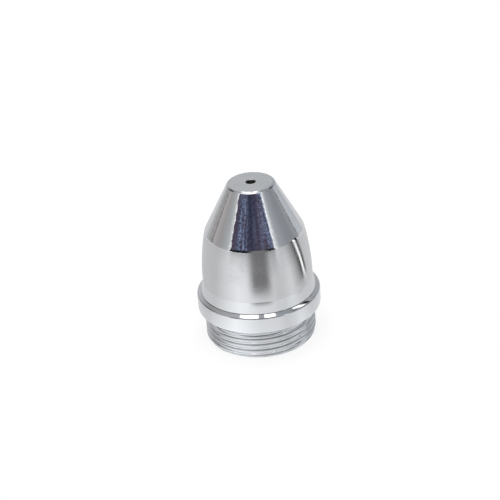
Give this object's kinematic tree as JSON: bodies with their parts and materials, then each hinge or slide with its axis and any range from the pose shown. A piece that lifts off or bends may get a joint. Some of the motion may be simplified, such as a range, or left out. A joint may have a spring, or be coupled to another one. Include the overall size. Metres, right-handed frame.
{
  "type": "plasma torch nozzle",
  "caption": "Hollow conical metal cutting tip with a small central orifice, a bowed barrel, a seating flange and an external screw thread at its open base.",
  "frame": {"origin": "on the axis, in the plane of the open threaded end that the nozzle stands on", "axes": "+Z along the axis, from the threaded end to the orifice; X and Y are free, except that the thread's helix starts near +X"},
  "size_m": [0.02, 0.02, 0.0272],
  "materials": {
    "chrome_plate": "bright plating over turned copper, satin on the barrel"
  },
  "bodies": {
    "root": {"nozzle": "chrome_plate"}
  },
  "joints": []
}
